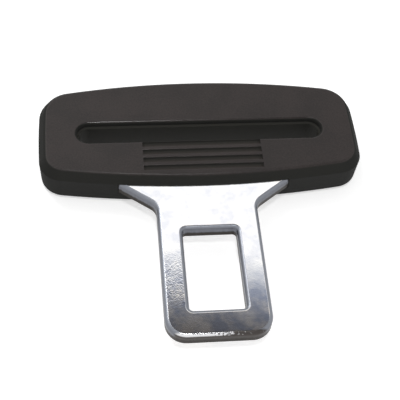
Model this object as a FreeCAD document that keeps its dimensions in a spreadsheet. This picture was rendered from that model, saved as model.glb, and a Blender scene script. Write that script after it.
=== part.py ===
import FreeCAD, Part
import Sketcher
import math
import os

# Seat belt tongue. The middle of the webbing slot is the origin of every outline: X runs along the slot,
# the blade points to -Y, and the grooved front face is up. The finished part stands on its rear face.

# Driving sizes, in millimetres and degrees
DRIVING_SIZES = {
    # Webbing slot and its sleeve
    "bore_length": 52.5,
    "bore_width": 4.6,
    "guide_wall": 1.4,
    "guide_lead": 0.5,
    "fit_clearance": 0.1,
    # Steel plate
    "plate_thickness": 3.0,
    "end_band": 3.2,
    "front_band": 5.2,
    "rear_band": 5.8,
    "anchor_corner": 4.0,
    "blade_width": 21.0,
    "neck_reach": 4.65,
    "flare_angle": 36.4,
    "shoulder_radius": 2.8,
    "window_gap": 10.75,
    "window_width": 11.2,
    "window_length": 18.6,
    "window_corner": 0.8,
    "tip_land": 5.7,
    "tip_corner": 4.2,
    "edge_roll": 0.8,
    "edge_break": 0.2,
    # Plastic head
    "front_rise": 2.2,
    "rear_depth": 3.2,
    "end_wall": 3.7,
    "front_wall": 4.05,
    "rear_wall": 5.3,
    "front_bow": 205.0,
    "rear_bow": 180.0,
    "side_bow": 170.0,
    "front_corner": 5.3,
    "rear_corner": 7.0,
    "front_draft": 31.0,
    "rear_draft": 2.0,
    "front_edge": 0.95,
    "rear_edge": 1.2,
    "rim_thickness": 1.1,
    "mouth_setback": 0.3,
    "lip_radius": 0.6,
    "rear_lip": 0.5,
    # Grip grooves
    "groove_length": 25.4,
    "groove_width": 1.65,
    "groove_depth": 0.75,
    "groove_shoulder": 0.25,
    "groove_start": 0.9,
    "groove_pitch": 2.09,
    "groove_count": 4,
    # Joining pegs
    "peg_radius": 1.4,
    "peg_bite": 1.6,
    "socket_relief": 0.3,
    "front_peg_spread": 22.0,
    "front_peg_inset": 4.8,
    "rear_peg_spread": 34.0,
    "rear_peg_margin": 0.6,
    "rear_peg_length": 2.6,
}

# Sizes that follow from the driving ones
GUIDE_LENGTH = "(sizes.bore_length + 2 * sizes.guide_wall)"
GUIDE_WIDTH = "(sizes.bore_width + 2 * sizes.guide_wall)"
SLOT_LENGTH = f"({GUIDE_LENGTH} + 2 * sizes.fit_clearance)"
SLOT_WIDTH = f"({GUIDE_WIDTH} + 2 * sizes.fit_clearance)"
MOUTH_LENGTH = "(sizes.bore_length + 2 * sizes.mouth_setback)"
MOUTH_WIDTH = "(sizes.bore_width + 2 * sizes.mouth_setback)"
ANCHOR_END = f"({SLOT_LENGTH} / 2 + sizes.end_band)"
ANCHOR_FRONT = f"({SLOT_WIDTH} / 2 + sizes.front_band)"
ANCHOR_REAR = f"({SLOT_WIDTH} / 2 + sizes.rear_band)"
HEAD_END = f"({ANCHOR_END} + sizes.fit_clearance + sizes.end_wall)"
HEAD_FRONT = f"({ANCHOR_FRONT} + sizes.fit_clearance + sizes.front_wall)"
HEAD_REAR = f"({ANCHOR_REAR} + sizes.fit_clearance + sizes.rear_wall)"
SHOULDER_REACH = f"({HEAD_FRONT} + sizes.neck_reach)"
WINDOW_NEAR = f"({HEAD_FRONT} + sizes.window_gap)"
WINDOW_FAR = f"({WINDOW_NEAR} + sizes.window_length)"
TIP_REACH = f"({WINDOW_FAR} + sizes.tip_land)"
BLADE_HALF = "(sizes.blade_width / 2)"
PARTING_HEIGHT = "(sizes.rear_depth + sizes.plate_thickness)"
MIDDLE_SHIFT = f"(({TIP_REACH} - {HEAD_REAR}) / 2)"
FRONT_PEG_REACH = f"({SLOT_WIDTH} / 2 + sizes.front_peg_inset)"
REAR_PEG_REACH = f"({ANCHOR_REAR} + sizes.fit_clearance + sizes.rear_peg_margin + sizes.peg_radius)"
FRONT_PEG_LENGTH = "(sizes.plate_thickness + sizes.peg_bite)"
SOCKET_RADIUS = "(sizes.peg_radius + sizes.fit_clearance)"
FIRST_GROOVE = f"({MOUTH_WIDTH} / 2 + sizes.groove_start)"
# The valley's arc touches both shoulders, so width and depth settle the sum of the two radii
ROUND_SUM = "(((sizes.groove_width / 2) ^ 2 + sizes.groove_depth ^ 2) / (2 * sizes.groove_depth))"
VALLEY_RADIUS = f"({ROUND_SUM} - sizes.groove_shoulder)"

QUARTER = math.pi / 2

doc = FreeCAD.newDocument("seat_belt_tongue")
sheet = doc.addObject("Spreadsheet::Sheet", "sizes")
for row, (name, size) in enumerate(DRIVING_SIZES.items(), start=1):
    sheet.set(f"A{row}", name)
    sheet.set(f"B{row}", str(size))
    sheet.setAlias(f"B{row}", name)
doc.recompute()


def value(expression):
    return float(sheet.evalExpression(expression))


def flare_half_width(reach, clearance="0"):
    """Half width of the flared neck at a distance ahead of the slot, with a clearance square to its edge."""
    run = f"({SHOULDER_REACH} - {reach}) / tan(sizes.flare_angle * 1 deg)"
    return f"({BLADE_HALF} + {run} + {clearance} / sin(sizes.flare_angle * 1 deg))"


# Bodies and sketches


def new_body(label, height):
    """A body whose origin is the slot's middle, placed so that the part is centred and stands on z = 0."""
    body = doc.addObject("PartDesign::Body", label)
    body.Label = label
    body.setExpression("Placement.Base.y", MIDDLE_SHIFT)
    body.setExpression("Placement.Base.z", height)
    return body


def origin_feature(body, role):
    return next(item for item in body.Origin.OriginFeatures if item.Role == role)


def new_sketch(body, name, height="0", plane="XY_Plane"):
    """A sketch on one of the body's own planes, or at a height above it."""
    sketch = body.newObject("Sketcher::SketchObject", name)
    sketch.AttachmentSupport = [(origin_feature(body, plane), "")]
    sketch.MapMode = "FlatFace"
    sketch.setExpression("AttachmentOffset.Base.z", height)
    return sketch


def hold(sketch, kind, *where, size):
    """A constraint whose size is an expression on the sheet."""
    index = sketch.addConstraint(Sketcher.Constraint(kind, *where, value(size)))
    sketch.setExpression(f"Constraints[{index}]", size)


def hold_point(sketch, geometry, position, x, y):
    hold(sketch, "DistanceX", -1, 1, geometry, position, size=x)
    hold(sketch, "DistanceY", -1, 1, geometry, position, size=y)


def draw_polygon(sketch, corners):
    """A closed outline of straight lines through corners given as pairs of expressions."""
    places = [FreeCAD.Vector(value(x), value(y), 0) for x, y in corners]
    count = len(places)
    lines = []
    for index in range(count):
        line = Part.LineSegment(places[index], places[(index + 1) % count])
        lines.append(sketch.addGeometry(line))
    for index, (x, y) in enumerate(corners):
        before = lines[index - 1]
        sketch.addConstraint(Sketcher.Constraint("Coincident", before, 2, lines[index], 1))
        hold_point(sketch, lines[index], 1, x, y)


def draw_circle(sketch, x, y, radius):
    centre = FreeCAD.Vector(value(x), value(y), 0)
    circle = sketch.addGeometry(Part.Circle(centre, FreeCAD.Vector(0, 0, 1), value(radius)))
    hold_point(sketch, circle, 3, x, y)
    hold(sketch, "Radius", circle, size=radius)


def draw_pair(sketch, spread, y, radius):
    """Two circles, left and right of the middle."""
    for side in ("", "-"):
        draw_circle(sketch, f"{side}({spread} / 2)", y, radius)


def draw_arc(sketch, centre, radius, start, end):
    circle = Part.Circle(centre, FreeCAD.Vector(0, 0, 1), radius)
    return sketch.addGeometry(Part.ArcOfCircle(circle, start, end))


def draw_stadium(sketch, length, width):
    """A slot outline along X, about the origin, with full round ends."""
    reach = f"(({length} - {width}) / 2)"
    radius = f"({width} / 2)"
    centre_right = FreeCAD.Vector(value(reach), 0, 0)
    centre_left = -centre_right
    rise = FreeCAD.Vector(0, value(radius), 0)
    right = draw_arc(sketch, centre_right, value(radius), -QUARTER, QUARTER)
    top = sketch.addGeometry(Part.LineSegment(centre_right + rise, centre_left + rise))
    left = draw_arc(sketch, centre_left, value(radius), QUARTER, 3 * QUARTER)
    bottom = sketch.addGeometry(Part.LineSegment(centre_left - rise, centre_right - rise))
    ring = [right, top, left, bottom]
    for index, piece in enumerate(ring):
        sketch.addConstraint(Sketcher.Constraint("Tangent", piece, 2, ring[(index + 1) % 4], 1))
    hold_point(sketch, right, 3, reach, "0")
    hold_point(sketch, left, 3, f"-{reach}", "0")
    hold(sketch, "Radius", right, size=radius)


def draw_groove(sketch, reach, top):
    """A groove seen from its end: a round valley between two shoulders that run level into the face."""
    middle = FreeCAD.Vector(-value(reach), value(top), 0)
    half = FreeCAD.Vector(value("sizes.groove_width / 2"), 0, 0)
    shoulder = value("sizes.groove_shoulder")
    sink = FreeCAD.Vector(0, shoulder, 0)
    valley = value(VALLEY_RADIUS)
    valley_centre = middle + FreeCAD.Vector(0, valley - value("sizes.groove_depth"), 0)
    lean = math.asin(half.x / (valley + shoulder))
    front = draw_arc(sketch, middle - half - sink, shoulder, QUARTER - lean, QUARTER)
    floor = draw_arc(sketch, valley_centre, valley, -QUARTER - lean, -QUARTER + lean)
    rear = draw_arc(sketch, middle + half - sink, shoulder, QUARTER, QUARTER + lean)
    lid = sketch.addGeometry(Part.LineSegment(middle - half, middle + half))
    meetings = [(lid, 2, rear, 1), (rear, 2, floor, 2), (floor, 1, front, 1), (front, 2, lid, 1)]
    for meeting in meetings:
        sketch.addConstraint(Sketcher.Constraint("Tangent", *meeting))
    sketch.addConstraint(Sketcher.Constraint("Horizontal", lid))
    hold(sketch, "Radius", front, size="sizes.groove_shoulder")
    hold(sketch, "Radius", rear, size="sizes.groove_shoulder")
    hold(sketch, "Radius", floor, size=VALLEY_RADIUS)
    hold(sketch, "DistanceX", lid, 1, lid, 2, size="sizes.groove_width")
    hold(sketch, "DistanceY", -1, 1, lid, 1, size=top)
    hold(sketch, "DistanceX", -1, 1, floor, 3, size=f"-{reach}")


def draw_head_outline(sketch):
    """The barrel outline of the plastic head: four bowed sides, joined by corner arcs that touch both."""
    side_middle = f"(({HEAD_REAR} - {HEAD_FRONT}) / 2)"
    bows = [
        (f"({HEAD_END} - sizes.side_bow)", side_middle, "sizes.side_bow"),
        ("0", f"({HEAD_REAR} - sizes.rear_bow)", "sizes.rear_bow"),
        (f"(sizes.side_bow - {HEAD_END})", side_middle, "sizes.side_bow"),
        ("0", f"(sizes.front_bow - {HEAD_FRONT})", "sizes.front_bow"),
    ]
    corners = ["sizes.rear_corner", "sizes.rear_corner", "sizes.front_corner", "sizes.front_corner"]
    up = FreeCAD.Vector(0, 0, 1)
    circles = [Part.Circle(FreeCAD.Vector(value(x), value(y), 0), up, value(r)) for x, y, r in bows]
    quadrants = [(1, 1), (-1, 1), (-1, -1), (1, -1)]
    turns = []
    for index, (side, end) in enumerate(quadrants):
        # A corner's centre lies one corner radius inside both of its bows
        radius = value(corners[index])
        before, after = circles[index], circles[(index + 1) % 4]
        inner = Part.Circle(before.Center, up, before.Radius - radius)
        meetings = inner.intersect(Part.Circle(after.Center, up, after.Radius - radius))
        meeting = next(point for point in meetings if point.X * side > 0 and point.Y * end > 0)
        turns.append(Part.Circle(FreeCAD.Vector(meeting.X, meeting.Y, 0), up, radius))

    def touch(bow, turn):
        reach = turn.Center - bow.Center
        return turn.Center + reach.normalize() * turn.Radius

    ring = []
    for index, bow in enumerate(circles):
        turn = turns[index]
        end = touch(bow, turn)
        stretch = (bow.parameter(touch(bow, turns[index - 1])), bow.parameter(end))
        ring.append(draw_arc(sketch, bow.Center, bow.Radius, *stretch))
        bend = (turn.parameter(end), turn.parameter(touch(circles[(index + 1) % 4], turn)))
        ring.append(draw_arc(sketch, turn.Center, turn.Radius, *bend))
    for index, piece in enumerate(ring):
        sketch.addConstraint(Sketcher.Constraint("Tangent", piece, 2, ring[(index + 1) % 8], 1))
    for index, (x, y, radius) in enumerate(bows):
        hold_point(sketch, ring[2 * index], 3, x, y)
        hold(sketch, "Radius", ring[2 * index], size=radius)
        hold(sketch, "Radius", ring[2 * index + 1], size=corners[index])


def plate_outline(clearance, front_reach=None):
    """Corners of the plate: blade, flared neck and anchor head, or of the room for it in the rear cover."""
    end = f"({ANCHOR_END} + {clearance})"
    rear = f"({ANCHOR_REAR} + {clearance})"
    front = f"({ANCHOR_FRONT} + {clearance})"
    neck = flare_half_width(front, clearance)
    if front_reach is None:
        lower = [(BLADE_HALF, TIP_REACH), (BLADE_HALF, SHOULDER_REACH)]
    else:
        lower = [(flare_half_width(front_reach, clearance), front_reach)]
    right = [(x, f"-{y}") for x, y in lower + [(neck, front), (end, front)]]
    right.append((end, rear))
    left = [(f"-{x}", y) for x, y in reversed(right)]
    return right + left


# Solid features


def pad(body, sketch, length, down=False):
    feature = body.newObject("PartDesign::Pad", sketch.Name + "_pad")
    feature.Profile = sketch
    feature.Reversed = down
    feature.setExpression("Length", length)
    doc.recompute()
    return feature


def pocket(body, sketch, depth, up=False, both_ways=False):
    """A pocket cut down from its sketch, or up, or half to each side. It has to take material away."""
    before = body.Shape.Volume
    feature = body.newObject("PartDesign::Pocket", sketch.Name + "_cut")
    feature.Profile = sketch
    feature.Reversed = up
    feature.Midplane = both_ways
    feature.setExpression("Length", depth)
    doc.recompute()
    if not feature.Shape.Volume < before:
        raise RuntimeError(f"{feature.Name} cuts nothing")
    return feature


def edge_names(feature, wanted):
    """Names of the feature's edges that a test accepts."""
    edges = enumerate(feature.Shape.Edges, start=1)
    names = [f"Edge{index}" for index, edge in edges if wanted(edge)]
    if not names:
        raise RuntimeError(f"{feature.Name} has no such edge")
    return names


def round_edges(body, feature, name, wanted, radius):
    rounding = body.newObject("PartDesign::Fillet", name)
    rounding.Base = (feature, edge_names(feature, wanted))
    rounding.setExpression("Radius", radius)
    doc.recompute()
    return rounding


def draft_sides(body, feature, name, angle):
    """Lean every side face inwards from the parting plane, so that the piece leaves its mould."""
    before = feature.Shape.Volume
    faces = enumerate(feature.Shape.Faces, start=1)
    sides = [f"Face{index}" for index, face in faces if face.BoundBox.ZLength > NEAR]
    draft = body.newObject("PartDesign::Draft", name)
    draft.Base = (feature, sides)
    draft.NeutralPlane = (origin_feature(body, "XY_Plane"), [""])
    draft.setExpression("Angle", angle)
    doc.recompute()
    if draft.Shape.Volume > before:
        draft.Reversed = True
        doc.recompute()
    return draft


def bevel_edges(body, feature, name, wanted, size):
    bevel = body.newObject("PartDesign::Chamfer", name)
    bevel.Base = (feature, edge_names(feature, wanted))
    bevel.setExpression("Size", size)
    doc.recompute()
    return bevel


# Tests that choose edges

NEAR = 0.001


def level(edge):
    """The height of an edge that lies level, or None."""
    box = edge.BoundBox
    return (box.ZMin + box.ZMax) / 2 if box.ZLength < NEAR else None


def at_height(height):
    def wanted(edge):
        return level(edge) is not None and abs(level(edge) - value(height)) < NEAR
    return wanted


def upright_at(x, y):
    """Edges that run from top to bottom at plus or minus x, and at y."""
    def wanted(edge):
        middle = edge.valueAt((edge.FirstParameter + edge.LastParameter) / 2)
        upright = level(edge) is None and edge.BoundBox.XLength < NEAR and edge.BoundBox.YLength < NEAR
        return upright and abs(abs(middle.x) - value(x)) < NEAR and abs(middle.y - value(y)) < NEAR
    return wanted


def slot_edge(width, height):
    """Edges at a height that belong to a slot of that width about the X axis."""
    def wanted(edge):
        reach = value(width) / 2 + NEAR
        return at_height(height)(edge) and edge.BoundBox.YMax < reach and edge.BoundBox.YMin > -reach
    return wanted


def outside_the_head(height):
    """Edges of the plate at a height that lie ahead of its anchor head: blade, window and neck."""
    def wanted(edge):
        return at_height(height)(edge) and edge.BoundBox.Center.y < -value(ANCHOR_FRONT) - NEAR
    return wanted


# The stamped steel plate


def make_tongue_plate():
    body = new_body("tongue_plate", "sizes.rear_depth")
    outline = new_sketch(body, "plate_outline")
    draw_polygon(outline, plate_outline("0"))
    solid = pad(body, outline, "sizes.plate_thickness")
    top = "sizes.plate_thickness"

    webbing_slot = new_sketch(body, "plate_slot", top)
    draw_stadium(webbing_slot, SLOT_LENGTH, SLOT_WIDTH)
    pocket(body, webbing_slot, top)

    window = new_sketch(body, "latch_window", top)
    half = "(sizes.window_width / 2)"
    near, far = f"-{WINDOW_NEAR}", f"-{WINDOW_FAR}"
    draw_polygon(window, [(half, far), (half, near), (f"-{half}", near), (f"-{half}", far)])
    pocket(body, window, top)

    peg_holes = new_sketch(body, "peg_holes", top)
    draw_pair(peg_holes, "sizes.front_peg_spread", f"-{FRONT_PEG_REACH}", SOCKET_RADIUS)
    solid = pocket(body, peg_holes, top)

    rounds = [
        ("tip_corners", BLADE_HALF, f"-{TIP_REACH}", "sizes.tip_corner"),
        ("shoulders", BLADE_HALF, f"-{SHOULDER_REACH}", "sizes.shoulder_radius"),
        ("anchor_front_corners", ANCHOR_END, f"-{ANCHOR_FRONT}", "sizes.anchor_corner"),
        ("anchor_rear_corners", ANCHOR_END, ANCHOR_REAR, "sizes.anchor_corner"),
        ("window_near_corners", half, near, "sizes.window_corner"),
        ("window_far_corners", half, far, "sizes.window_corner"),
    ]
    for name, x, y, radius in rounds:
        solid = round_edges(body, solid, name, upright_at(x, y), radius)
    # The punch pulls the upper edges in and leaves the lower ones sharp, so those are only broken
    solid = round_edges(body, solid, "rolled_edges", outside_the_head(top), "sizes.edge_roll")
    bevel_edges(body, solid, "broken_edges", outside_the_head("0"), "sizes.edge_break")
    return body


# The sleeve in the webbing slot


def make_webbing_guide():
    body = new_body("webbing_guide", "sizes.rim_thickness")
    height = "(sizes.rear_depth + sizes.plate_thickness + sizes.front_rise - 2 * sizes.rim_thickness)"
    outline = new_sketch(body, "guide_outline")
    draw_stadium(outline, GUIDE_LENGTH, GUIDE_WIDTH)
    pad(body, outline, height)
    bore = new_sketch(body, "guide_bore", height)
    draw_stadium(bore, "sizes.bore_length", "sizes.bore_width")
    solid = pocket(body, bore, height)
    for name, end in (("rear_lead", "0"), ("front_lead", height)):
        solid = bevel_edges(body, solid, name, slot_edge("sizes.bore_width", end), "sizes.guide_lead")
    return body


# The two moulded covers


def make_front_cover():
    body = new_body("front_cover", PARTING_HEIGHT)
    outline = new_sketch(body, "front_outline")
    draw_head_outline(outline)
    solid = pad(body, outline, "sizes.front_rise")
    solid = draft_sides(body, solid, "front_draft", "sizes.front_draft")
    solid = round_edges(body, solid, "front_border", at_height("sizes.front_rise"), "sizes.front_edge")

    mouth = new_sketch(body, "front_mouth", "sizes.front_rise")
    draw_stadium(mouth, MOUTH_LENGTH, MOUTH_WIDTH)
    solid = pocket(body, mouth, "sizes.front_rise")
    lip = slot_edge(MOUTH_WIDTH, "sizes.front_rise")
    round_edges(body, solid, "front_lip", lip, "sizes.lip_radius")
    seat = new_sketch(body, "front_guide_seat")
    draw_stadium(seat, SLOT_LENGTH, SLOT_WIDTH)
    pocket(body, seat, "(sizes.front_rise - sizes.rim_thickness)", up=True)

    groove = new_sketch(body, "grip_groove", plane="YZ_Plane")
    draw_groove(groove, FIRST_GROOVE, "sizes.front_rise")
    first = pocket(body, groove, "sizes.groove_length", both_ways=True)
    grooves = body.newObject("PartDesign::LinearPattern", "grip_grooves")
    grooves.Originals = [first]
    grooves.Direction = (origin_feature(body, "Y_Axis"), [""])
    grooves.Reversed = True
    grooves.Mode = "Spacing"
    grooves.setExpression("Offset", "sizes.groove_pitch")
    grooves.setExpression("Occurrences", "sizes.groove_count")
    body.Tip = grooves
    doc.recompute()

    draw_pegs(body, "front_pegs", "sizes.front_peg_spread", f"-{FRONT_PEG_REACH}", FRONT_PEG_LENGTH)
    draw_pegs(body, "rear_pegs", "sizes.rear_peg_spread", REAR_PEG_REACH, "sizes.rear_peg_length")
    return body


def draw_pegs(body, name, spread, y, length):
    """A pair of pegs that hang from the parting plane."""
    sketch = new_sketch(body, name)
    draw_pair(sketch, spread, y, "sizes.peg_radius")
    pad(body, sketch, length, down=True)


def make_rear_cover():
    body = new_body("rear_cover", PARTING_HEIGHT)
    outline = new_sketch(body, "rear_outline")
    draw_head_outline(outline)
    solid = pad(body, outline, PARTING_HEIGHT, down=True)
    solid = draft_sides(body, solid, "rear_draft", "sizes.rear_draft")
    solid = round_edges(body, solid, "rear_border", at_height(f"-{PARTING_HEIGHT}"), "sizes.rear_edge")

    tray = new_sketch(body, "plate_tray")
    past_the_wall = f"({HEAD_FRONT} + sizes.front_wall / 4)"
    draw_polygon(tray, plate_outline("sizes.fit_clearance", past_the_wall))
    solid = pocket(body, tray, "sizes.plate_thickness")
    end = f"({ANCHOR_END} + sizes.fit_clearance)"
    corner = "(sizes.anchor_corner + sizes.fit_clearance)"
    for name, y in (("tray_front_corners", f"-({ANCHOR_FRONT} + sizes.fit_clearance)"),
                    ("tray_rear_corners", f"({ANCHOR_REAR} + sizes.fit_clearance)")):
        solid = round_edges(body, solid, name, upright_at(end, y), corner)

    mouth = new_sketch(body, "rear_mouth")
    draw_stadium(mouth, MOUTH_LENGTH, MOUTH_WIDTH)
    solid = pocket(body, mouth, PARTING_HEIGHT)
    lip = slot_edge(MOUTH_WIDTH, f"-{PARTING_HEIGHT}")
    bevel_edges(body, solid, "rear_lip", lip, "sizes.rear_lip")
    seat = new_sketch(body, "rear_guide_seat", "-sizes.plate_thickness")
    draw_stadium(seat, SLOT_LENGTH, SLOT_WIDTH)
    pocket(body, seat, "(sizes.rear_depth - sizes.rim_thickness)")

    front_sockets = new_sketch(body, "front_sockets", "-sizes.plate_thickness")
    rear_sockets = new_sketch(body, "rear_sockets")
    draw_pair(front_sockets, "sizes.front_peg_spread", f"-{FRONT_PEG_REACH}", SOCKET_RADIUS)
    draw_pair(rear_sockets, "sizes.rear_peg_spread", REAR_PEG_REACH, SOCKET_RADIUS)
    pocket(body, front_sockets, "(sizes.peg_bite + sizes.socket_relief)")
    pocket(body, rear_sockets, "(sizes.rear_peg_length + sizes.socket_relief)")
    return body


bodies = [make_tongue_plate(), make_webbing_guide(), make_front_cover(), make_rear_cover()]
doc.recompute()

for item in doc.Objects:
    if "Invalid" in item.State or "Error" in item.State:
        raise RuntimeError(f"{item.Name} failed: {item.State}")
for body in bodies:
    if body.Shape.isNull() or not body.Shape.isValid() or len(body.Shape.Solids) != 1:
        raise RuntimeError(f"{body.Label} is not one sound solid")

os.makedirs("parts", exist_ok=True)
for body in bodies:
    body.Shape.exportStep(f"parts/{body.Label}.step")
    box = body.Shape.BoundBox
    print(body.Label, "volume", round(body.Shape.Volume, 1), "box", box)
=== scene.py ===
# %% [markdown]
# A seat belt tongue is the half of the buckle that travels on the webbing. A stamped, plated steel plate
# carries the belt's load, and a two-part plastic head gives the fingers something to hold. Its four solids
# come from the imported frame. This lesson dresses them: it sets the camera, a white studio, and one finish
# for each way that a surface was made.

# %% Load the frame
import math
import bpy
from mathutils import Matrix, Vector


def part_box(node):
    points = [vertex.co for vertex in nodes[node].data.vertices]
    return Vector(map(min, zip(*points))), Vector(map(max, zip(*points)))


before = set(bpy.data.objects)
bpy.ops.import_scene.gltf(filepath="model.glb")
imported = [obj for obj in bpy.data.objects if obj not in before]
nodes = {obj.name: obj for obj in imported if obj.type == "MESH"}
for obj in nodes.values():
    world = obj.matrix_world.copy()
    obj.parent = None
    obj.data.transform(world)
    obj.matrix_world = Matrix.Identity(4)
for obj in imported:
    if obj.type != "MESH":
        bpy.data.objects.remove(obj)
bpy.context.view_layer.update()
scene = bpy.context.scene
MM = 0.001
print("pieces:", sorted(nodes))

# %% [markdown]
# Colours are picked on a screen, so they are written as sRGB hex values. The renderer adds light up, and
# for that it needs linear numbers. One function turns the first into the second, by the curve of the sRGB
# standard.

# %% Colours from sRGB hex


def linear(hex_colour):
    """Linear RGBA of an sRGB colour such as "#3a3634"."""
    channels = [int(hex_colour[start:start + 2], 16) / 255 for start in (1, 3, 5)]
    curve = [c / 12.92 if c <= 0.04045 else ((c + 0.055) / 1.055) ** 2.4 for c in channels]
    return (*curve, 1.0)


WHITE = linear("#ffffff")
print("mid grey #808080 is", round(linear("#808080")[0], 3), "in linear light")

# %% [markdown]
# Every material below is a graph of nodes. A node has settings, which are attributes, and inputs, which hold
# either a number or a link. One small function covers all of them, so a material reads as a list of nodes.
# Settings that many nodes share have a name of their own.

# %% One function that adds any node
COLOURS = {"data_type": "RGBA"}
NUMBERS = {"data_type": "FLOAT"}
SMOOTH = {"interpolation_type": "SMOOTHSTEP"}
FALLING = {"To Min": 1.0, "To Max": 0.0}


def add_node(tree, kind, settings=None, inputs=None):
    """Adds a node. An input given as a socket is linked, and any other value is set."""
    node = tree.nodes.new("ShaderNode" + kind)
    for name, setting in (settings or {}).items():
        setattr(node, name, setting)
    for name, source in (inputs or {}).items():
        if isinstance(source, bpy.types.NodeSocket):
            tree.links.new(source, node.inputs[name])
        else:
            node.inputs[name].default_value = source
    return node


def new_material(name):
    """An empty material and its node tree."""
    material = bpy.data.materials.new(name)
    material.use_nodes = True
    material.node_tree.nodes.clear()
    return material, material.node_tree


def finish_material(tree, shader):
    """Puts the shader on the surface."""
    add_node(tree, "OutputMaterial", inputs={"Surface": shader.outputs[0]})
    print("material with", len(tree.nodes), "nodes")


print("node helpers ready")

# %% [markdown]
# The photograph was taken from the tip's side, from above and a little to the left, with the camera turned
# slightly about its own axis. Where the slot, the window and the tip fall in the picture settles its place:
# an aim point on top of the plate, a distance, three angles and a focal length.

# %% Camera
CAMERA_AIM = Vector((-1.4, -0.3, 6.2)) * MM
CAMERA_DISTANCE = 195.8 * MM
CAMERA_ELEVATION = math.radians(54.63)
CAMERA_TURN = math.radians(-10.3)
CAMERA_ROLL = math.radians(6.54)
CAMERA_LENS = 84.8
CAMERA_NEAREST = 10 * MM

camera_data = bpy.data.cameras.new("camera")
camera_data.lens = CAMERA_LENS
camera_data.clip_start = CAMERA_NEAREST
camera = bpy.data.objects.new("camera", camera_data)
scene.collection.objects.link(camera)
scene.camera = camera

look = (Matrix.Rotation(CAMERA_TURN, 4, "Z")
        @ Matrix.Rotation(math.pi / 2 - CAMERA_ELEVATION, 4, "X")
        @ Matrix.Rotation(CAMERA_ROLL, 4, "Z"))
camera.matrix_world = Matrix.Translation(CAMERA_AIM) @ look @ Matrix.Translation((0, 0, CAMERA_DISTANCE))
print("camera at", [round(c / MM, 1) for c in camera.matrix_world.translation], "mm")

# %% [markdown]
# The object lies on white paper. Where the camera or a reflection looks at the paper, it is lifted a little,
# so that lit paper reads as pure white and only the object's soft shadow is left on it. The Light Path node
# tells such rays from the ones that only carry light.

# %% White paper
FLOOR_SIZE = 4.0
FLOOR_GAP = 0.02 * MM  # keeps the paper out of the very plane of the rear face
PAPER = linear("#e6e6e6")
PAPER_ROUGHNESS = 0.9
PAPER_GLOSS = 0.2
PAPER_LIFT = 0.5


def seen_background(tree):
    """1 where the camera, a reflection or a look through glass meets the background, or else 0."""
    path = add_node(tree, "LightPath")
    seen = add_node(tree, "Math", {"operation": "MAXIMUM"}, {
        0: path.outputs["Is Camera Ray"], 1: path.outputs["Is Glossy Ray"]})
    seen = add_node(tree, "Math", {"operation": "MAXIMUM"}, {
        0: seen.outputs[0], 1: path.outputs["Is Transmission Ray"]})
    return seen.outputs[0]


paper, tree = new_material("matt_white_paper")
lift = add_node(tree, "Math", {"operation": "MULTIPLY"}, {0: seen_background(tree), 1: PAPER_LIFT})
sheet = add_node(tree, "BsdfPrincipled", inputs={
    "Base Color": PAPER, "Roughness": PAPER_ROUGHNESS, "Specular IOR Level": PAPER_GLOSS,
    "Emission Color": WHITE, "Emission Strength": lift.outputs[0]})
finish_material(tree, sheet)

bpy.ops.mesh.primitive_plane_add(size=FLOOR_SIZE, location=(0, 0, -FLOOR_GAP))
floor = bpy.context.object
floor.name = "floor"
floor.data.materials.append(paper)
print("paper:", FLOOR_SIZE, "m of", [round(c, 2) for c in PAPER[:3]])

# %% [markdown]
# The room is dim and its light comes mostly from above and from behind the object, so the walls that face
# the camera stay dark, as in the photograph. The camera and the reflections see plain white.

# %% Room light
HORIZON_LIGHT = 0.3
OVERHEAD_LIGHT = 0.4  # what the zenith adds to the horizon
REAR_LIGHT = 0.05  # what the rear adds and the front takes away
SEEN_LIGHT = 1.0

scene.world = bpy.data.worlds.new("soft_room")
scene.world.use_nodes = True
tree = scene.world.node_tree
tree.nodes.clear()
where = add_node(tree, "TexCoord")
axes = add_node(tree, "SeparateXYZ", inputs={"Vector": where.outputs["Generated"]})
rise = add_node(tree, "Math", {"operation": "MAXIMUM"}, {0: axes.outputs["Z"], 1: 0.0})
overhead = add_node(tree, "Math", {"operation": "MULTIPLY_ADD"}, {
    0: rise.outputs[0], 1: OVERHEAD_LIGHT, 2: HORIZON_LIGHT})
level = add_node(tree, "Math", {"operation": "MULTIPLY_ADD"}, {
    0: axes.outputs["Y"], 1: REAR_LIGHT, 2: overhead.outputs[0]})
shown = add_node(tree, "Mix", NUMBERS, {
    "Factor": seen_background(tree), "A": level.outputs[0], "B": SEEN_LIGHT})
glow = add_node(tree, "Background", inputs={"Color": WHITE, "Strength": shown.outputs[0]})
add_node(tree, "OutputWorld", inputs={"Surface": glow.outputs[0]})
print("light from the zenith:", HORIZON_LIGHT + OVERHEAD_LIGHT)

# %% [markdown]
# Polished metal needs something to mirror, or it looks like card. Photographers hang a large cloth over it.
# This one is round: grey in the middle, then dark, with a broad white border. The plate mirrors the border
# near the head, and the dark ring at the tip. The turn from white through blue grey to dark is what tells the
# eye that it is metal. Only reflections see the cloth: it takes no light away, and the camera doesn't see it.

# %% Reflector cloth overhead
CLOTH_HEIGHT = 1.2
CLOTH_BRIGHTNESS = 1.2  # the white burns out in the plate, as in the photograph
# Elevations in degrees, as seen from the object, and the cloth's tone there
CLOTH_TONES = [(90.0, "#77777b"), (74.0, "#3c3938"), (64.4, "#4c4a4b"), (63.0, "#64666c"), (61.6, "#868b98"),
               (60.3, "#a8aebb"), (59.4, "#d6d9de"), (58.6, "#ffffff"), (42.0, "#ffffff")]
CLOTH_PLACE = (0.06, 0.0, CLOTH_HEIGHT)  # hung a little to the right, which darkens the right leg first
CLOTH_CORNERS = 96


def radius_at(elevation):
    """How far from the cloth's middle a line of sight that rises at this angle meets it."""
    return CLOTH_HEIGHT / math.tan(math.radians(elevation))


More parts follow.
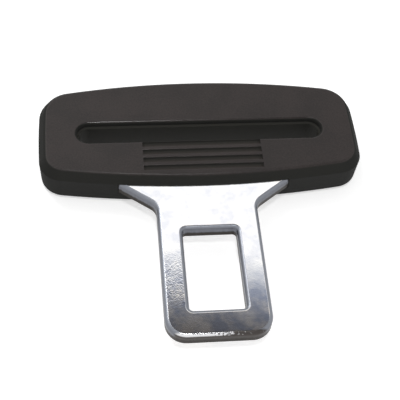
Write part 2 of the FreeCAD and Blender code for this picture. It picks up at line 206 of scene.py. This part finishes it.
cloth, tree = new_material("reflector_cloth")
where = add_node(tree, "TexCoord")
span = add_node(tree, "VectorMath", {"operation": "LENGTH"}, {0: where.outputs["Object"]})
cloth_radius = radius_at(CLOTH_TONES[-1][0])
share = add_node(tree, "Math", {"operation": "DIVIDE"}, {0: span.outputs["Value"], 1: cloth_radius})
tones = add_node(tree, "ValToRGB", inputs={"Fac": share.outputs[0]})
stops = tones.color_ramp.elements
while len(stops) < len(CLOTH_TONES):
    stops.new(1.0)
for stop, (elevation, tone) in zip(stops, CLOTH_TONES):
    stop.position = radius_at(elevation) / cloth_radius
    stop.color = linear(tone)
lit = add_node(tree, "Emission", inputs={"Color": tones.outputs["Color"], "Strength": CLOTH_BRIGHTNESS})
finish_material(tree, lit)

bpy.ops.mesh.primitive_circle_add(
    vertices=CLOTH_CORNERS, radius=cloth_radius, fill_type="NGON", location=CLOTH_PLACE)
card = bpy.context.object
card.name = "reflector_cloth"
card.data.materials.append(cloth)
card.visible_camera = False
card.visible_diffuse = False
card.visible_transmission = False
card.visible_shadow = False
print("cloth radius:", round(cloth_radius, 2), "m")

# %% [markdown]
# Two soft boxes add to the room. The main one hangs behind the head, so that the front wall and the inside of
# the slot stay dark. A small one is overhead, a little towards the camera: the rolled edges of the plate and
# the lip of the mouth catch it as a thin line of light. Their power is worked out from the light that they
# should give on level paper, where 1 in all makes a colour render as it is written.

# %% Soft boxes
# Name, place in metres, width in metres, and the light it adds on level paper
SOFTBOXES = [("rear_softbox", Vector((-0.35, 0.62, 0.85)), 0.3, 0.22),
             ("top_softbox", Vector((-0.02, -0.17, 0.9)), 0.1, 0.18)]

for name, place, width, paper_light in SOFTBOXES:
    data = bpy.data.lights.new(name, "AREA")
    data.size = width
    distance = place.length
    steepness = place.z / distance
    # White paper that faces a lamp of P watts is as bright as P / (pi * distance) ** 2
    data.energy = paper_light * (math.pi * distance) ** 2 / steepness
    lamp = bpy.data.objects.new(name, data)
    lamp.location = place
    lamp.rotation_mode = "QUATERNION"
    lamp.rotation_quaternion = (-place).to_track_quat("-Z", "Y")
    scene.collection.objects.link(lamp)
    print(name, "gives", round(data.energy, 2), "W")

# %% [markdown]
# The head is injection moulded in black plastic. Its mould was spark eroded, which leaves a fine even grain,
# so the face looks like matt charcoal and not like black glass. Two noises share in its colour: one as fine
# as the grain, and a broad one for the flow of the plastic across the face.

# %% Colour of the spark eroded moulding
GRAIN_WIDTH = 0.32  # real grains are near 0.1 mm, drawn coarser so that they show at this size
BLOTCH_WIDTH = 9.0
GRAIN_TO_BLOTCH = 0.5
FACE_DARK = linear("#1b1412")
FACE_LIGHT = linear("#261e1c")
DARK_NOISE, LIGHT_NOISE = 0.42, 0.58  # noise levels at which the face has its two colours


def per_mm(width):
    """Texture scale for features of a width in millimetres, on coordinates in metres."""
    return 1 / (width * MM)


moulding, tree = new_material("spark_eroded_black_moulding")
where = add_node(tree, "TexCoord")
spot = add_node(tree, "SeparateXYZ", inputs={"Vector": where.outputs["Object"]})
facing = add_node(tree, "SeparateXYZ", inputs={"Vector": where.outputs["Normal"]})
grain = add_node(tree, "TexNoise", inputs={
    "Vector": where.outputs["Object"], "Scale": per_mm(GRAIN_WIDTH), "Detail": 2.0, "Roughness": 0.6})
blotch = add_node(tree, "TexNoise", inputs={
    "Vector": where.outputs["Object"], "Scale": per_mm(BLOTCH_WIDTH), "Detail": 3.0})
speckle = add_node(tree, "Mix", NUMBERS, {
    "Factor": GRAIN_TO_BLOTCH, "A": grain.outputs["Fac"], "B": blotch.outputs["Fac"]})
lightness = add_node(tree, "MapRange", inputs={
    "Value": speckle.outputs[0], "From Min": DARK_NOISE, "From Max": LIGHT_NOISE})
face_tint = add_node(tree, "Mix", COLOURS, {
    "Factor": lightness.outputs[0], "A": FACE_DARK, "B": FACE_LIGHT})

# %% [markdown]
# The walls scatter light more than the face. Painted shade makes them a shade darker than the face, most of
# all at both ends of the head and below the parting line, where they lean in. The normal tells where that is:
# its upright part is 1 on the face and 0 on a wall, and its sideways part grows towards the two ends.

# %% Walls of the head, with painted shade
ALL_WALL, ALL_FACE = 0.5, 0.84  # upright less sideways part of the normal, at either end of the change
LEAN = 0.03  # upright part of the normal on a wall that clearly leans out or in
# Painted shade: the walls' tint, and a darker one at the ends and where a wall leans in
WALL_PAINTED_SHADE = linear("#181814")
DEEPER_PAINTED_SHADE = linear("#0d0d0a")
WALL_ROUGHNESS = 0.82
END_ROUGHNESS = 1.0

upright = add_node(tree, "Math", {"operation": "ABSOLUTE"}, {0: facing.outputs["Z"]})
sideways = add_node(tree, "Math", {"operation": "ABSOLUTE"}, {0: facing.outputs["X"]})
levelness = add_node(tree, "Math", {"operation": "SUBTRACT"}, {0: upright.outputs[0], 1: sideways.outputs[0]})
wall = add_node(tree, "MapRange", SMOOTH, {
    "Value": levelness.outputs[0], "From Min": ALL_WALL, "From Max": ALL_FACE, **FALLING})
leaning_in = add_node(tree, "MapRange", inputs={
    "Value": facing.outputs["Z"], "From Min": -LEAN, "From Max": LEAN, **FALLING})
shade = add_node(tree, "Math", {"operation": "MAXIMUM"}, {0: leaning_in.outputs[0], 1: sideways.outputs[0]})
wall_painted_shade = add_node(tree, "Mix", COLOURS, {"Factor": shade.outputs[0], "A": WALL_PAINTED_SHADE, "B": DEEPER_PAINTED_SHADE})
wall_rough = add_node(tree, "MapRange", inputs={
    "Value": sideways.outputs[0], "To Min": WALL_ROUGHNESS, "To Max": END_ROUGHNESS})
print("all wall from a slope of", round(math.degrees(math.acos(ALL_WALL))), "degrees, towards front or rear")

# %% [markdown]
# Fingers rub the front and rear borders, and the webbing rubs the lip of the mouth even more. There the grain
# is polished away, and the edge catches a thin line of light. A border is where the normal is a little off
# upright, and the lip is the part of the border that is near the guide in the slot.

# %% Rubbed borders and lip
FACE_ROUGHNESS = 0.64
BORDER_ROUGHNESS = 0.27
LIP_ROUGHNESS = 0.16
BORDER_END = 0.8  # upright part of the normal where the border ends; the polish peaks half way to 1
HALF_WAY = 0.5
FACE_GRAIN, LIP_GRAIN = 0.5, 0.1
SLOT_LOW, SLOT_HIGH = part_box("webbing_guide")
LIP_REACH = 1.2 * MM

border = add_node(tree, "MapRange", inputs={"Value": upright.outputs[0], "From Min": BORDER_END})
rubbed = add_node(tree, "Math", {"operation": "PINGPONG"}, {0: border.outputs[0], 1: HALF_WAY})
beside_slot = []
for axis, socket in enumerate(("X", "Y")):
    middle = (SLOT_LOW[axis] + SLOT_HIGH[axis]) / 2
    half = (SLOT_HIGH[axis] - SLOT_LOW[axis]) / 2
    offset = add_node(tree, "Math", {"operation": "SUBTRACT"}, {0: spot.outputs[socket], 1: middle})
    apart = add_node(tree, "Math", {"operation": "ABSOLUTE"}, {0: offset.outputs[0]})
    near = add_node(tree, "MapRange", inputs={
        "Value": apart.outputs[0], "From Min": half + LIP_REACH / 2, "From Max": half + LIP_REACH, **FALLING})
    beside_slot.append(near.outputs[0])
lip = add_node(tree, "Math", {"operation": "MULTIPLY"}, {0: beside_slot[0], 1: beside_slot[1]})
polish = add_node(tree, "MapRange", inputs={
    "Value": lip.outputs[0], "To Min": BORDER_ROUGHNESS, "To Max": LIP_ROUGHNESS})
face_rough = add_node(tree, "MapRange", inputs={
    "Value": rubbed.outputs[0], "From Max": HALF_WAY, "To Min": FACE_ROUGHNESS, "To Max": polish.outputs[0]})
grain_left = add_node(tree, "MapRange", inputs={
    "Value": lip.outputs[0], "To Min": FACE_GRAIN, "To Max": LIP_GRAIN})
print("slot of", [round((high - low) / MM, 1) for low, high in zip(SLOT_LOW, SLOT_HIGH)][:2], "mm")

# %% [markdown]
# Fingers don't reach down into the four grip grooves, so their flanks are rougher than the rubbed face. That
# widens the dark line in each groove, as in the photograph. Painted light keeps the line from getting too
# dark: the flanks get tints a little lighter than the face's, and the flank that faces the blade is painted a
# little lighter than the one that faces the mouth. The grooves lie in a rectangle between the front border
# and the mouth, and in there the depth below the face tells how far down a groove a place is.

# %% Grip grooves, with painted light on their flanks
COVER_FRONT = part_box("front_cover")[0][1]
FACE_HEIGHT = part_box("front_cover")[1][2]
GRIP_FROM = COVER_FRONT + 2.5 * MM
GRIP_TO = COVER_FRONT + 10.28 * MM
GRIP_HALF = 12.8 * MM
GROOVE_DEPTH = 0.6 * MM
TOWARDS_BLADE, TOWARDS_MOUTH = -0.8, 0.2  # rearward part of the normal on the two flanks of a groove
# Painted light: the flank tints are lighter than the face, to lift the shade in the grooves
BLADE_FLANK_PAINTED_LIGHT = linear("#353430")
MOUTH_FLANK_PAINTED_LIGHT = linear("#332d2a")
GROOVE_ROUGHNESS = 0.9

depth = add_node(tree, "MapRange", inputs={
    "Value": spot.outputs["Z"], "From Min": FACE_HEIGHT - GROOVE_DEPTH, "From Max": FACE_HEIGHT, **FALLING})
aside = add_node(tree, "Math", {"operation": "ABSOLUTE"}, {0: spot.outputs["X"]})
limits = [add_node(tree, "Math", {"operation": "LESS_THAN"}, {0: aside.outputs[0], 1: GRIP_HALF}),
          add_node(tree, "Math", {"operation": "GREATER_THAN"}, {0: spot.outputs["Y"], 1: GRIP_FROM}),
          add_node(tree, "Math", {"operation": "LESS_THAN"}, {0: spot.outputs["Y"], 1: GRIP_TO})]
groove = depth
for limit in limits:
    groove = add_node(tree, "Math", {"operation": "MULTIPLY"}, {0: groove.outputs[0], 1: limit.outputs[0]})
flank = add_node(tree, "MapRange", inputs={
    "Value": facing.outputs["Y"], "From Min": TOWARDS_BLADE, "From Max": TOWARDS_MOUTH})
groove_painted_light = add_node(tree, "Mix", COLOURS, {
    "Factor": flank.outputs[0], "A": BLADE_FLANK_PAINTED_LIGHT, "B": MOUTH_FLANK_PAINTED_LIGHT})
print("grooved patch:", round((GRIP_TO - GRIP_FROM) / MM, 1), "by", round(2 * GRIP_HALF / MM, 1), "mm")

# %% [markdown]
# Now the places are laid over each other: the face first, then the walls, then the grooves. The bump is as
# fine as the grain. Black plastics of this kind have an IOR near 1.5, and a little less matches the
# photograph, where the face hardly shines.

# %% Shader of the moulding
MOULDING_IOR = 1.42
GRAIN_HEIGHT = 0.05 * MM

head_tint = add_node(tree, "Mix", COLOURS, {
    "Factor": wall.outputs[0], "A": face_tint.outputs["Result"], "B": wall_painted_shade.outputs["Result"]})
head_tint = add_node(tree, "Mix", COLOURS, {
    "Factor": groove.outputs[0], "A": head_tint.outputs["Result"], "B": groove_painted_light.outputs["Result"]})
head_rough = add_node(tree, "Mix", NUMBERS, {
    "Factor": wall.outputs[0], "A": face_rough.outputs[0], "B": wall_rough.outputs[0]})
head_rough = add_node(tree, "Mix", NUMBERS, {
    "Factor": groove.outputs[0], "A": head_rough.outputs[0], "B": GROOVE_ROUGHNESS})
bump = add_node(tree, "Bump", inputs={
    "Height": grain.outputs["Fac"], "Strength": grain_left.outputs[0], "Distance": GRAIN_HEIGHT})
shader = add_node(tree, "BsdfPrincipled", inputs={
    "Base Color": head_tint.outputs["Result"], "Roughness": head_rough.outputs[0], "IOR": MOULDING_IOR,
    "Normal": bump.outputs["Normal"]})
finish_material(tree, shader)

# %% [markdown]
# The guide in the slot is moulded in acetal, the usual plastic for a surface that cloth slides over. It
# needs no grain: it is smooth and slightly waxy, with faint flow marks, and its black is a little yellow.

# %% Smooth acetal
FLOW_WIDTH = 4.0
ACETAL_DARK = linear("#191811")
ACETAL_LIGHT = linear("#201f17")
ACETAL_ROUGHNESS = 0.6
ACETAL_IOR = 1.4

guide, tree = new_material("smooth_moulded_acetal")
where = add_node(tree, "TexCoord")
flow = add_node(tree, "TexNoise", inputs={
    "Vector": where.outputs["Object"], "Scale": per_mm(FLOW_WIDTH), "Detail": 2.0})
tint = add_node(tree, "Mix", COLOURS, {"Factor": flow.outputs["Fac"], "A": ACETAL_DARK, "B": ACETAL_LIGHT})
shader = add_node(tree, "BsdfPrincipled", inputs={
    "Base Color": tint.outputs["Result"], "Roughness": ACETAL_ROUGHNESS, "IOR": ACETAL_IOR})
finish_material(tree, shader)

# %% [markdown]
# The plate is blanked from 3 mm steel strip and bright zinc plated. The thin passivation film on the zinc
# gives blue and straw coloured clouds, which are faint near the head and strongest near the tip, where the
# film is worn. One noise places both, so that the faint clouds run on into the strong ones.

# %% Film on the plate's faces
CLOUD_WIDTH = 3.5
# Noise levels at the cloud's middle and edge, and the two tints there: the whole film, then the worn one
FILMS = [(0.35, 0.65, linear("#e3e4e9"), linear("#fdfbf8")),
         (0.4, 0.6, linear("#cbced6"), linear("#fff8ee"))]
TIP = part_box("tongue_plate")[0][1]
ALL_WORN, NOT_WORN = TIP + 5 * MM, TIP + 14 * MM

steel, tree = new_material("bright_plated_steel")
where = add_node(tree, "TexCoord")
spot = add_node(tree, "SeparateXYZ", inputs={"Vector": where.outputs["Object"]})
facing = add_node(tree, "SeparateXYZ", inputs={"Vector": where.outputs["Normal"]})
cloud = add_node(tree, "TexNoise", inputs={
    "Vector": where.outputs["Object"], "Scale": per_mm(CLOUD_WIDTH), "Detail": 2.0, "Roughness": 0.6})
film_tints = []
for cloudy, clear, cloud_tint, clear_tint in FILMS:
    clearness = add_node(tree, "MapRange", inputs={
        "Value": cloud.outputs["Fac"], "From Min": cloudy, "From Max": clear})
    film = add_node(tree, "Mix", COLOURS, {"Factor": clearness.outputs[0], "A": cloud_tint, "B": clear_tint})
    film_tints.append(film.outputs["Result"])
near_tip = add_node(tree, "MapRange", SMOOTH, {
    "Value": spot.outputs["Y"], "From Min": ALL_WORN, "From Max": NOT_WORN, **FALLING})
plate_tint = add_node(tree, "Mix", COLOURS, {
    "Factor": near_tip.outputs[0], "A": film_tints[0], "B": film_tints[1]})
print("tip at", round(TIP / MM, 1), "mm, clouds", CLOUD_WIDTH, "mm wide")

# %% [markdown]
# The punch made the cut sides in one stroke: a rolled edge, a burnished band with upright draw marks, and a
# torn, darker band at the bottom, where the steel broke away. Where the normal leaves upright, the face ends.
# A fine noise frays that line, because worn plating has a ragged edge.

# %% Where the sides begin
FRAY_WIDTH = 0.5
FRAY_REACH = 0.004  # how far the noise shifts the upright part of the normal
ALL_SIDE, ALL_PLATE = 0.985, 0.997  # upright part of the normal, at either end of the change

upright = add_node(tree, "Math", {"operation": "ABSOLUTE"}, {0: facing.outputs["Z"]})
fray = add_node(tree, "TexNoise", inputs={
    "Vector": where.outputs["Object"], "Scale": per_mm(FRAY_WIDTH), "Detail": 2.0, "Roughness": 0.6})
frayed = add_node(tree, "Math", {"operation": "MULTIPLY_ADD"}, {
    0: fray.outputs["Fac"], 1: -FRAY_REACH, 2: upright.outputs[0]})
cut_side = add_node(tree, "MapRange", SMOOTH, {
    "Value": frayed.outputs[0], "From Min": ALL_SIDE, "From Max": ALL_PLATE, **FALLING})
print("the side begins at a slope of", round(math.degrees(math.acos(ALL_PLATE)), 1), "degrees")

# %% [markdown]
# The draw marks are a noise that is stretched upwards. The same marks make the upper end of the torn band
# ragged, because the steel broke away a little higher at one mark than at the next.

# %% Burnished and torn bands, with painted shade at the bottom
DRAW_MARK_WIDTH = 0.3  # real marks are near 0.05 mm, drawn coarser so that they show
DRAW_MARK_SHAPE = (1.0, 1.0, 0.12)
PLATE_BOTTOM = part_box("tongue_plate")[0][2]
PLATE_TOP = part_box("tongue_plate")[1][2]
# Painted shade: the dark torn band reaches to about half the thickness, so it carries the shade along the
# bottom of the side as well as the tear
TORN_SHARE = 0.48
TEAR_HEIGHT = PLATE_BOTTOM + TORN_SHARE * (PLATE_TOP - PLATE_BOTTOM)
TEAR_RAGGED = 0.8 * MM
ALL_TORN, NOT_TORN = TEAR_HEIGHT + 0.2 * MM, TEAR_HEIGHT + 0.55 * MM
BURNISHED_DARK = linear("#5f6168")
BURNISHED_LIGHT = linear("#76787f")

squeeze = add_node(tree, "VectorMath", {"operation": "MULTIPLY"}, {
    0: where.outputs["Object"], 1: DRAW_MARK_SHAPE})
marks = add_node(tree, "TexNoise", inputs={
    "Vector": squeeze.outputs[0], "Scale": per_mm(DRAW_MARK_WIDTH), "Detail": 3.0, "Roughness": 0.6})
burnished = add_node(tree, "Mix", COLOURS, {
    "Factor": marks.outputs["Fac"], "A": BURNISHED_DARK, "B": BURNISHED_LIGHT})
ragged = add_node(tree, "Math", {"operation": "MULTIPLY_ADD"}, {
    0: marks.outputs["Fac"], 1: TEAR_RAGGED, 2: spot.outputs["Z"]})
torn_and_shade = add_node(tree, "MapRange", inputs={
    "Value": ragged.outputs[0], "From Min": ALL_TORN, "From Max": NOT_TORN, **FALLING})
print("the tear reaches to", round(TEAR_HEIGHT / MM, 2), "mm")

# %% [markdown]
# At the tip, the rolled edge has been pushed into the buckle so often that it is bright again in spots. Their
# bright tint is worn plating and a painted glint as well. The spots lie on the upper part of the roll and get
# fewer from left to right. The noise that frays the face's edge places them too.

# %% Worn spots and painted glint on the tip
TIP_SIDE_END, TIP_SIDE_START = TIP + 0.7 * MM, TIP + 1.1 * MM
CREST_LOW, CREST_HIGH = PLATE_TOP - 0.5 * MM, PLATE_TOP - 0.3 * MM
SPOTS_LEFT, SPOTS_RIGHT = -6 * MM, 6 * MM
MORE_SPOTS, FEWER_SPOTS = 0.3, -0.25  # what is added to the noise on the left and on the right
SPOT_FROM, SPOT_TO = 0.4, 0.55

tip_side = add_node(tree, "MapRange", inputs={
    "Value": spot.outputs["Y"], "From Min": TIP_SIDE_END, "From Max": TIP_SIDE_START, **FALLING})
crest = add_node(tree, "MapRange", inputs={
    "Value": spot.outputs["Z"], "From Min": CREST_LOW, "From Max": CREST_HIGH})
leading = add_node(tree, "Math", {"operation": "MULTIPLY"}, {0: tip_side.outputs[0], 1: crest.outputs[0]})
thinning = add_node(tree, "MapRange", inputs={
    "Value": spot.outputs["X"], "From Min": SPOTS_LEFT, "From Max": SPOTS_RIGHT,
    "To Min": MORE_SPOTS, "To Max": FEWER_SPOTS})
spots = add_node(tree, "Math", {"operation": "ADD"}, {0: fray.outputs["Fac"], 1: thinning.outputs[0]})
bright = add_node(tree, "MapRange", inputs={
    "Value": spots.outputs[0], "From Min": SPOT_FROM, "From Max": SPOT_TO})
worn_glint = add_node(tree, "Math", {"operation": "MULTIPLY"}, {0: leading.outputs[0], 1: bright.outputs[0]})
print("spots from", round(SPOTS_LEFT / MM), "to", round(SPOTS_RIGHT / MM), "mm")

# %% [markdown]
# Rolled strip is never quite flat, so the mirror of its faces is slightly wavy. The leg on the left of the
# window is dimpled too, where the buckle's latch has knocked on it. Both are bumps of 0.004 to 0.015 mm, too
# low for a shape, but enough to bend what the plate mirrors.

# %% Waves and dimples
WAVE_WIDTH = 2.8
WAVE_HEIGHT = 0.004 * MM
DIMPLE_WIDTH = 0.7
DIMPLE_HEIGHT = 0.015 * MM
DIMPLE_TWIST = 2.0
ALL_DIMPLED, NOT_DIMPLED = -6 * MM, -3 * MM  # from the dimpled leg towards the window
DIMPLED_FROM, DIMPLED_TO = -26 * MM, -12 * MM  # along the blade
FULLY_KNOCKED = 0.3
LEAST_DIMPLED = 0.12  # what the rest of the plate has of the dimples

wave = add_node(tree, "TexNoise", inputs={
    "Vector": where.outputs["Object"], "Scale": per_mm(WAVE_WIDTH), "Detail": 2.0, "Roughness": 0.5})
wave_bump = add_node(tree, "Bump", inputs={
    "Height": wave.outputs["Fac"], "Strength": 1.0, "Distance": WAVE_HEIGHT})
leg = add_node(tree, "MapRange", SMOOTH, {
    "Value": spot.outputs["X"], "From Min": ALL_DIMPLED, "From Max": NOT_DIMPLED, **FALLING})
stretch = add_node(tree, "MapRange", inputs={
    "Value": spot.outputs["Y"], "From Min": DIMPLED_FROM, "From Max": DIMPLED_TO})
hump = add_node(tree, "Math", {"operation": "PINGPONG"}, {0: stretch.outputs[0], 1: HALF_WAY})
patch = add_node(tree, "Math", {"operation": "MULTIPLY"}, {0: leg.outputs[0], 1: hump.outputs[0]})
knocked = add_node(tree, "MapRange", inputs={
    "Value": patch.outputs[0], "From Max": FULLY_KNOCKED, "To Min": LEAST_DIMPLED})
dimple = add_node(tree, "TexNoise", inputs={
    "Vector": where.outputs["Object"], "Scale": per_mm(DIMPLE_WIDTH), "Detail": 1.0,
    "Distortion": DIMPLE_TWIST})
dimple_bump = add_node(tree, "Bump", inputs={
    "Height": dimple.outputs["Fac"], "Strength": knocked.outputs[0], "Distance": DIMPLE_HEIGHT,
    "Normal": wave_bump.outputs["Normal"]})
print("dimpled stretch:", round((DIMPLED_TO - DIMPLED_FROM) / MM), "mm")

# %% [markdown]
# The tints of the sides go on one after the other: the burnished band, its rolled upper part, the tip, which
# is darker, the torn band with its painted shade, and the bright spots with their painted glint last. Metal
# shows its colour in its reflections, and keeps the default IOR. The faces are a soft mirror, and the sides
# scatter far more.

# %% Shader of the plate
ROLL_FROM, ROLL_TO = 0.2, 0.9  # upright part of the normal, up the roll
ROLLED_TINT = linear("#868990")
TIP_SIDE_TINT = linear("#4a4644")
# Tint of the torn band, which is painted shade as well as torn steel
TORN_AND_SHADE_TINT = linear("#332f2c")
# Worn plating and painted glint: the bright spots on the tip's roll
WORN_GLINT_TINT = linear("#e4e4e6")
PLATE_ROUGHNESS = 0.07
SIDE_ROUGHNESS = 0.4
BRIGHT_ROUGHNESS = 0.17

rolled = add_node(tree, "MapRange", inputs={
    "Value": upright.outputs[0], "From Min": ROLL_FROM, "From Max": ROLL_TO})
side_tint = burnished
for cover, tint in ((rolled, ROLLED_TINT), (tip_side, TIP_SIDE_TINT), (torn_and_shade, TORN_AND_SHADE_TINT), (worn_glint, WORN_GLINT_TINT)):
    side_tint = add_node(tree, "Mix", COLOURS, {
        "Factor": cover.outputs[0], "A": side_tint.outputs["Result"], "B": tint})
side_rough = add_node(tree, "MapRange", inputs={
    "Value": worn_glint.outputs[0], "To Min": SIDE_ROUGHNESS, "To Max": BRIGHT_ROUGHNESS})
steel_tint = add_node(tree, "Mix", COLOURS, {
    "Factor": cut_side.outputs[0], "A": plate_tint.outputs["Result"], "B": side_tint.outputs["Result"]})
steel_rough = add_node(tree, "Mix", NUMBERS, {
    "Factor": cut_side.outputs[0], "A": PLATE_ROUGHNESS, "B": side_rough.outputs[0]})
shader = add_node(tree, "BsdfPrincipled", inputs={
    "Base Color": steel_tint.outputs["Result"], "Metallic": 1.0, "Roughness": steel_rough.outputs[0],
    "Normal": dimple_bump.outputs["Normal"]})
finish_material(tree, shader)

# %% [markdown]
# The solids keep their own shape and place, and each gets the finish of the way it was made. Both covers come
# out of moulds with the same grain.

# %% Dress the nodes
FINISHES = {
    "front_cover": moulding,
    "rear_cover": moulding,
    "webbing_guide": guide,
    "tongue_plate": steel,
}
for name, material in FINISHES.items():
    nodes[name].data.materials.clear()
    nodes[name].data.materials.append(material)
print("finishes:", {name: material.name for name, material in FINISHES.items()})

# %% [markdown]
# The Standard view shows colours as they are written.

# %% Colour view
scene.view_settings.view_transform = "Standard"
